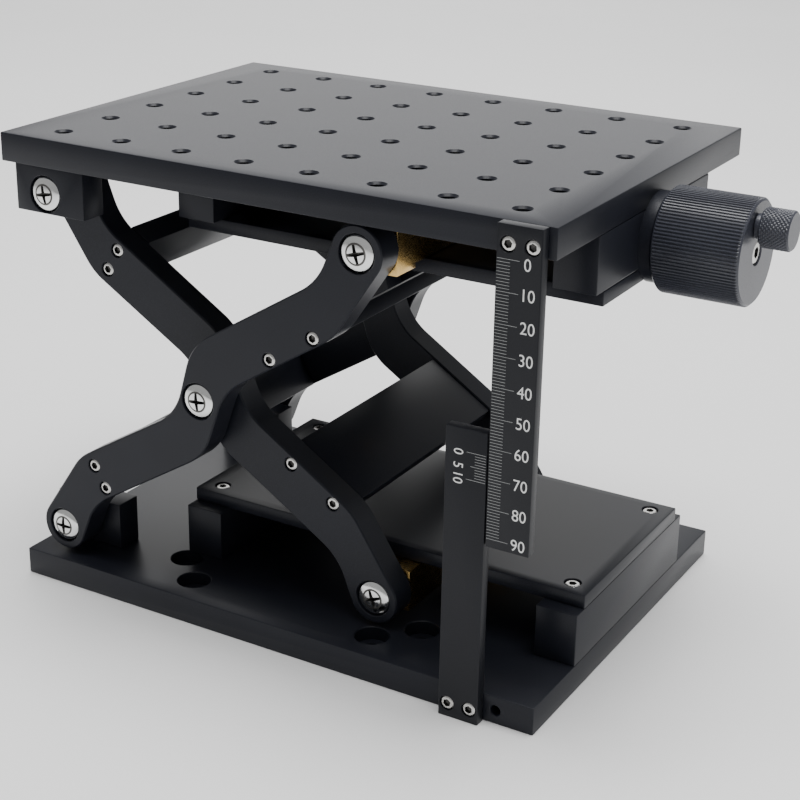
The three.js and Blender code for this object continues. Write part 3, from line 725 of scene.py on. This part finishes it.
def pivot_screw_mesh():
    """A domed head with a cross recess; its bearing face is at the origin and it faces +Z."""
    radius, height, shank = PIVOT_SCREW["radius"], PIVOT_SCREW["height"], PIVOT_SCREW["shank"]
    angles = [math.pi / 2 * i / DOME_STEPS for i in range(DOME_STEPS)]
    dome = [(radius * math.cos(a), DOME_RIM + (height - DOME_RIM) * math.sin(a)) for a in angles]
    blank = bmesh.new()
    end = -PIVOT_SCREW["length"]
    profile = [(0, end), (shank, end), (shank, GAP), (radius - DOME_UNDERCUT, GAP), *dome, (0, height)]
    add_turned(blank, profile, (0, 0, 0), Z_AXIS, FINE_SIDES)
    cutter = bmesh.new()
    outline = cross_outline()
    bottom = (CROSS_RECESS["taper"], height - CROSS_RECESS["depth"])
    layers = [(CROSS_RECESS["mouth"], height + OVER), (1.0, height), bottom]
    rings = [[cutter.verts.new((x * k, y * k, z)) for x, y in outline] for k, z in layers]
    for upper, lower in zip(rings, rings[1:]):
        for i in range(len(outline)):
            j = (i + 1) % len(outline)
            cutter.faces.new((upper[i], upper[j], lower[j], lower[i]))
    cutter.faces.new(rings[0])
    cutter.faces.new(rings[-1])
    screw = carved("pivot_screw", blank, cutter)
    mesh = screw.data
    bpy.data.objects.remove(screw)
    # The cross recess gets the dark steel as painted shade.
    darken_recess(mesh, ZINC, CROSS_RECESS["reach"], 0, height - CROSS_SKIN)
    return mesh


def place_screw(name, mesh, spot, facing, twist, body, slot, *nodes):
    """A screw at a spot, with its head facing a way and its recess turned by `twist`."""
    obj = bpy.data.objects.new(name, mesh)
    bpy.context.scene.collection.objects.link(obj)
    turn = Z_AXIS.rotation_difference(Vector(facing)).to_matrix().to_4x4()
    obj.matrix_world = Matrix.Translation(spot) @ turn @ Matrix.Rotation(twist, 4, "Z")
    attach(obj, body)
    if nodes:
        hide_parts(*nodes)


def twist_for(index):
    """Each screw stops at another angle; the golden angle spreads them."""
    return index * GOLDEN_ANGLE


def make_tie_screws():
    mesh = socket_screw_mesh("tie_screw", TIE_SCREW)
    for pair, body in (("outer", "outer_arms"), ("inner", "inner_arms")):
        rear_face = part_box(f"{pair}_arm_rear")[1].y - GAP
        for i, spot in enumerate(tie_screw_spots(pair), 1):
            node = f"{pair}_tie_screw_{i}"
            front = Vector((spot.x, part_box(node)[0].y, spot.z))
            rear = Vector((spot.x, rear_face, spot.z))
            rear_twist = twist_for(i + 7)
            place_screw(node + "_fine", mesh, front, -Y_AXIS, twist_for(i), body, "screw_steel", node)
            place_screw(f"{pair}_rear_tie_screw_{i}", mesh, rear, Y_AXIS, rear_twist, body, "screw_steel")


def make_cover_screws():
    mesh = socket_screw_mesh("cover_screw", COVER_SCREW, True)
    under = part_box("top_guide_cover")[0].z + GAP
    for i, (x, y) in enumerate(cover_screw_spots(), 1):
        node = f"base_cover_screw_{i}"
        top = Vector((x, y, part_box(node)[1].z))
        bottom = Vector((x, y, under))
        bottom_twist = twist_for(i + 3)
        place_screw(node + "_fine", mesh, top, Z_AXIS, twist_for(i), "base", "screw_steel", node)
        place_screw(f"top_cover_screw_{i}", mesh, bottom, -Z_AXIS, bottom_twist, "table", "screw_steel")


def make_front_screws():
    mesh = socket_screw_mesh("front_screw", FRONT_SCREW)
    for prefix, body in (("ruler", "table"), ("vernier_post", "base")):
        for i in (1, 2):
            node = f"{prefix}_screw_{i}"
            spot = node_middle(node)
            spot.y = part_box(node)[0].y
            twist = twist_for(i + len(prefix))
            place_screw(node + "_fine", mesh, spot, -Y_AXIS, twist, body, "screw_steel", node)


def make_pivot_screws():
    mesh = pivot_screw_mesh()
    bodies = {"base": "base", "centre": "inner_arms", "table": "table", "nut": "nut", "slider": "slider"}
    height = PIVOT_SCREW["height"]
    for i, (pivot, body) in enumerate(bodies.items()):
        for place, side in (("front", -1), ("rear", 1)):
            node = f"{pivot}_pivot_screw_{place}"
            low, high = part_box(node)
            spot = (low + high) / 2
            spot.y = low.y + height if side < 0 else high.y - height
            twist = twist_for(2 * i + (side > 0))
            place_screw(node + "_fine", mesh, spot, Y_AXIS * side, twist, body, "zinc_steel", node)


# ---- Drive -----------------------------------------------------------------------------------------
def make_knob():
    """The knob: straight knurling with broken ends, and a seat for its screw in the outer face."""
    low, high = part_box("knob")
    axis = Vector((low.x, 0, PIVOT["lead_screw_turn"].z))
    radius, length = (high.z - low.z) / 2, high.x - low.x
    sides = POINTS_PER_TOOTH * KNOB_TEETH
    chamfer = KNOB_CHAMFER
    tooth = [radius - KNURL_DEPTH, radius, radius, radius - KNURL_DEPTH]
    crests = [tooth[i % POINTS_PER_TOOTH] for i in range(sides)]

    def limited(cone):
        return [min(r, cone) for r in crests]

    rim = SEAT_ROOM["radius"]
    seat = KNOB_SCREW["radius"] + KNOB_SEAT_ROOM
    floor = length - KNOB_SCREW["height"] - SEAT_ROOM["height"]
    profile = [(0, 0), (KNOB_SHAFT, 0), (radius - chamfer, 0)]
    for back, along in ((chamfer / 2, chamfer / 2), (0, chamfer), (0, length - chamfer)):
        profile.append((limited(radius - back), along))
    profile.append((limited(radius - chamfer / 2), length - chamfer / 2))
    profile.append((radius - chamfer - KNOB_FACE_EDGE, length))
    profile += [(seat + rim, length), (seat, length - rim), (seat, floor), (0, floor)]
    bm = bmesh.new()
    add_turned(bm, profile, axis, X_AXIS, sides)
    obj = shaded(make_object("knob_fine", bm), KNURL_SMOOTH_ANGLE)
    settle(obj, "drive", KNURLED, "knurled_aluminium", "knob")


def make_crank_grip():
    low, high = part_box("crank_grip")
    axis = (low + high) / 2
    axis.x = low.x
    radius, length = (high.z - low.z) / 2, high.x - low.x
    sides = POINTS_PER_DIAMOND * GRIP_DIAMONDS
    pitch = TURN * radius / GRIP_DIAMONDS
    rings = round(POINTS_PER_DIAMOND * length / pitch)
    profile = [(0, 0), (radius - GRIP_END, 0)]
    for k in range(rings + 1):
        x = length * k / rings
        cone = radius - GRIP_CHAMFER + min(x, length - x, GRIP_CHAMFER)
        crests = [diamond(i / sides, x, pitch, radius) for i in range(sides)]
        profile.append(([min(crest, cone) for crest in crests], x))
    profile += [(radius - GRIP_END, length), (0, length)]
    bm = bmesh.new()
    add_turned(bm, profile, axis, X_AXIS, sides)
    obj = shaded(make_object("crank_grip_fine", bm), DIAMOND_SMOOTH_ANGLE)
    settle(obj, "crank", KNURLED, "knurled_aluminium", "crank_grip")


def diamond(turn, x, pitch, radius):
    """The radius of a diamond knurl: flat-topped pyramids between two sets of helical grooves."""
    heights = []
    for sense in (1, -1):
        phase = (turn * GRIP_DIAMONDS + sense * x / pitch) % 1.0
        heights.append(1 - abs(2 * phase - 1))
    return radius - GRIP_DEPTH * (1 - min(1.0, DIAMOND_SLOPE * min(heights)))


def make_crank_pin():
    """The pin in the knob's face, with the collar that the crank grip turns against."""
    low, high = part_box("crank_pin")
    middle = (low + high) / 2
    pin, edge = CRANK_PIN["radius"], CRANK_PIN["edge"]
    collar = (high.z - low.z) / 2
    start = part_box("knob")[1].x - low.x + CRANK_PIN["knob_gap"]
    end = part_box("crank_grip")[0].x - low.x - CRANK_PIN["grip_gap"]
    profile = [
        (0, 0), (pin, 0), (pin, start), (collar - edge, start), (collar, start + edge),
        (collar, end - edge), (collar - edge, end), (0, end),
    ]
    bm = bmesh.new()
    add_turned(bm, profile, (low.x, middle.y, middle.z), X_AXIS)
    settle(make_object("crank_pin_fine", bm), "drive", KNURLED, "knurled_aluminium", "crank_pin")


def make_bearing_cap():
    low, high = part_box("bearing_cap")
    radius, length, edge = (high.z - low.z) / 2, high.x - low.x, CAP_CHAMFER
    profile = [(0, 0), (radius, 0), (radius, length - edge), (radius - edge, length), (0, length)]
    bm = bmesh.new()
    add_turned(bm, profile, (low.x, 0, PIVOT["lead_screw_turn"].z), X_AXIS, CAP_SIDES)
    settle(make_object("bearing_cap_fine", bm), "table", BLACK, "black_anodised", "bearing_cap")


def make_lead_screw():
    """A smooth journal, the thread between the bush and the bearing, and the shaft into the knob."""
    low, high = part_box("lead_screw")
    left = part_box("lead_screw_bush")[1].x + THREAD_GAP - low.x
    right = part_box("lead_screw_bearing")[0].x - low.x - THREAD_GAP
    radius = (high.z - low.z) / 2
    journal, shaft, edge = JOURNAL["left"], JOURNAL["right"], JOURNAL["edge"]
    step = SCREW_LEAD / SCREW_STARTS / RINGS_PER_THREAD
    rings = round((right - left) / step)
    profile = [
        (0, 0), (journal - JOURNAL["lead_in"], 0), (journal, edge),
        (journal, left - THREAD_START["shoulder"]), (radius - THREAD_DEPTH, left - THREAD_START["root"]),
    ]
    for k in range(rings + 1):
        x = left + (right - left) * k / rings
        radii = [thread_radius(i / THREAD_SIDES, x, radius) for i in range(THREAD_SIDES)]
        profile.append((radii, x))
    profile += [(shaft, right + edge), (shaft, high.x - low.x), (0, high.x - low.x)]
    bm = bmesh.new()
    add_turned(bm, profile, (low.x, 0, PIVOT["lead_screw_turn"].z), X_AXIS, THREAD_SIDES)
    settle(make_object("lead_screw_fine", bm), "drive", GROUND_STEEL, "bright_steel", "lead_screw")


def thread_radius(turn, x, radius):
    """A trapezoid thread: flat crests and roots, with flanks between them."""
    phase = (SCREW_STARTS * (x / SCREW_LEAD - turn)) % 1.0
    height = THREAD_FLANK["slope"] * abs(2 * phase - 1) - THREAD_FLANK["root"]
    height = min(1.0, max(0.0, height))
    return radius - THREAD_DEPTH * (1 - height)


def make_brass_bar(node, body):
    """A CAD node's own shape, with its flat faces joined up and its sharp edges broken."""
    bm = bmesh.new()
    bm.from_mesh(frame["nodes"][node].data)
    bmesh.ops.remove_doubles(bm, verts=bm.verts, dist=WELD)
    bmesh.ops.dissolve_limit(bm, angle_limit=FLAT_ANGLE, verts=bm.verts, edges=bm.edges)
    convex = [edge for edge in bm.edges if edge.is_manifold and edge.is_convex]
    break_edges(bm, [edge for edge in convex if edge.calc_face_angle() > SHARP_ANGLE], BRASS_EDGE)
    settle(make_object(node + "_fine", bm), body, BRASS, "brass", node)


def make_drive():
    make_knob()
    make_crank_grip()
    make_crank_pin()
    make_bearing_cap()
    make_lead_screw()
    make_brass_bar("nut_bar", "nut")
    make_brass_bar("lower_slider", "slider")
    make_knob_screw()
    finish_hidden_pieces()


def make_knob_screw():
    node = "knob_screw"
    mesh = socket_screw_mesh(node, KNOB_SCREW)
    spot = node_middle(node)
    spot.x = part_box(node)[1].x
    place_screw(node + "_fine", mesh, spot, X_AXIS, KNOB_SCREW_TWIST, "drive", "screw_steel", node)


def finish_hidden_pieces():
    """The round pieces inside the guides keep their CAD shape and only get their metal."""
    metals = {
        "base_guide_rod": GROUND_STEEL,
        "lead_screw_bearing": GROUND_STEEL,
        "lead_screw_bush": BRASS,
    }
    for node, metal in metals.items():
        mesh = frame["nodes"][node].data
        mesh.materials.clear()
        mesh.materials.append(metal)


# ---- Scale and vernier -----------------------------------------------------------------------------
def make_strip(node, body, screws):
    low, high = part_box(node)
    low = low + Vector((0, 2 * INK, 0))
    blank = bmesh.new()
    add_box(blank, low, high, STRIP_EDGE)
    cutters = bmesh.new()
    for i in (1, 2):
        middle = node_middle(f"{screws}_screw_{i}")
        cut_seat(cutters, (middle.x, low.y, middle.z), Y_AXIS, FRONT_SCREW)
    settle(carved(node + "_fine", blank, cutters), body, SCALE_BLACK, "engraved_aluminium", node)
    return low, high


def add_text(bm, words, height, place, turned=False):
    """Digits of the given height, centred on a place on the front face; `turned` ones read downwards."""
    curve = bpy.data.curves.new("digits", "FONT")
    curve.body = words
    curve.extrude = INK / height / 2
    curve.resolution_u = FONT_STEPS
    obj = bpy.data.objects.new("digits", curve)
    bpy.context.scene.collection.objects.link(obj)
    bpy.context.view_layer.update()
    scene_now = bpy.context.evaluated_depsgraph_get()
    mesh = bpy.data.meshes.new_from_object(obj.evaluated_get(scene_now))
    bpy.data.objects.remove(obj)
    xs = [v.co.x for v in mesh.vertices]
    ys = [v.co.y for v in mesh.vertices]
    size = height / (max(ys) - min(ys))
    middle = Vector(((max(xs) + min(xs)) / 2, (max(ys) + min(ys)) / 2, 0))
    upright = Matrix.Rotation(math.pi / 2, 4, "X")
    spin = Matrix.Rotation(-math.pi / 2 if turned else 0.0, 4, "Z")
    scale = Matrix.Diagonal((size * DIGIT_WIDTH, size, height, 1))
    mesh.transform(Matrix.Translation(place) @ upright @ spin @ scale @ Matrix.Translation(-middle))
    bm.from_mesh(mesh)
    bpy.data.meshes.remove(mesh)


def add_tick(bm, x_start, x_end, face, z):
    half = SCALE_TICKS["width"] / 2
    left, right = sorted((x_start, x_end))
    add_box(bm, (left, face - INK, z - half), (right, face + INK, z + half))


def make_ruler():
    low, high = make_strip("ruler", "table", "ruler")
    zero = high.z - SCALE_ZERO_DROP
    left = low.x + STRIP_EDGE
    gap = SCALE_DIGIT_GAP
    ticks = bmesh.new()
    digits = bmesh.new()
    for reading in range(SCALE_LENGTH + 1):
        length = SCALE_TICKS["long"] if reading % 10 == 0 else SCALE_TICKS["short"]
        z = zero - reading * MM
        add_tick(ticks, left, left + length, low.y, z)
        if reading % 10 == 0:
            x = left + length + (gap["others"] if reading else gap["zero"])
            drop = 0.0 if reading else gap["zero_drop"]
            add_text(digits, str(reading), SCALE_DIGIT, (x, low.y, z - drop))
    settle(make_object("ruler_ticks", ticks), "table", TICK_GREY, "engraved_aluminium")
    settle(make_object("ruler_digits", digits), "table", WHITE, "engraved_aluminium")


def make_vernier():
    low, high = make_strip("vernier_post", "base", "vernier_post")
    zero = LOWEST_HEIGHT - SCALE_ZERO_DROP
    right = high.x - STRIP_EDGE
    digit_x = right - VERNIER_DIGIT_PLACE["inset"]
    drop = VERNIER_DIGIT_PLACE["drop"]
    ticks = bmesh.new()
    digits = bmesh.new()
    for step in range(VERNIER_STEPS + 1):
        kind = {0: "long", 5: "middle", 10: "long"}.get(step, "short")
        z = zero - step * VERNIER_PITCH
        add_tick(ticks, right, right - VERNIER_TICKS[kind], low.y, z)
        if kind != "short":
            add_text(digits, str(step), VERNIER_DIGIT, (digit_x, low.y, z - drop), True)
    settle(make_object("vernier_ticks", ticks), "base", TICK_GREY, "engraved_aluminium")
    settle(make_object("vernier_digits", digits), "base", WHITE, "engraved_aluminium")


# ---- Floor, light and camera -----------------------------------------------------------------------
def make_floor():
    material, tree, shader = start_material("floor_white")
    clouds = noise(tree, scale=3, detail=2)
    tone = mix_colour(tree, spread(tree, clouds, 0.0, 1.0), (0.86,) * 3, (0.90,) * 3)
    tree.links.new(tone, shader.inputs["Base Color"])
    shader.inputs["Roughness"].default_value = 0.6
    bm = bmesh.new()
    bmesh.ops.create_grid(bm, x_segments=1, y_segments=1, size=3.0)
    floor = make_object("floor", bm)
    floor.data.materials.append(material)


def add_area_light(name, place, target, size, power):
    """A square light of a size in metres and a power in watts, turned towards its target."""
    lamp = bpy.data.lights.new(name, "AREA")
    lamp.size = size
    lamp.energy = power
    obj = bpy.data.objects.new(name, lamp)
    bpy.context.scene.collection.objects.link(obj)
    obj.location = place
    obj.rotation_euler = (Vector(target) - Vector(place)).to_track_quat("-Z", "Y").to_euler()


def make_light():
    world = bpy.data.worlds.new("studio")
    world.use_nodes = True
    background = world.node_tree.nodes["Background"]
    background.inputs["Color"].default_value = (1.0, 1.0, 1.0, 1.0)
    background.inputs["Strength"].default_value = 0.4
    bpy.context.scene.world = world
    add_area_light("overhead", place=(0.1, 0.1, 1.7), target=(0, 0, 0.09), size=1.2, power=46)
    add_area_light("back", place=(-0.85, 1.45, 0.85), target=(0, 0, 0.168), size=1.5, power=9)


CAMERA = {
    "azimuth": 30.416, "elevation": 21.241, "roll": 0.851,
    "place": (302.35 * MM, -504.33 * MM, 305.15 * MM),
    "lens": 77.6, "sensor": 36.0, "shift_x": 0.0130, "shift_y": -0.0305,
}


def make_camera():
    azimuth, elevation, roll = (math.radians(CAMERA[key]) for key in ("azimuth", "elevation", "roll"))
    level = math.cos(elevation)
    back = Vector((math.sin(azimuth) * level, -math.cos(azimuth) * level, math.sin(elevation)))
    right = Vector((math.cos(azimuth), math.sin(azimuth), 0))
    up = back.cross(right)
    turned_right = right * math.cos(roll) + up * math.sin(roll)
    turned_up = up * math.cos(roll) - right * math.sin(roll)
    data = bpy.data.cameras.new("camera")
    data.lens = CAMERA["lens"]
    data.sensor_width = CAMERA["sensor"]
    data.shift_x = CAMERA["shift_x"]
    data.shift_y = CAMERA["shift_y"]
    camera = bpy.data.objects.new("camera", data)
    bpy.context.scene.collection.objects.link(camera)
    turn = Matrix((turned_right, turned_up, back)).transposed().to_4x4()
    camera.matrix_world = Matrix.Translation(CAMERA["place"]) @ turn
    bpy.context.scene.camera = camera


make_camera()
make_blocks()
make_arms()
make_tie_screws()
make_cover_screws()
make_front_screws()
make_pivot_screws()
make_drive()
make_ruler()
make_vernier()
make_floor()
make_light()
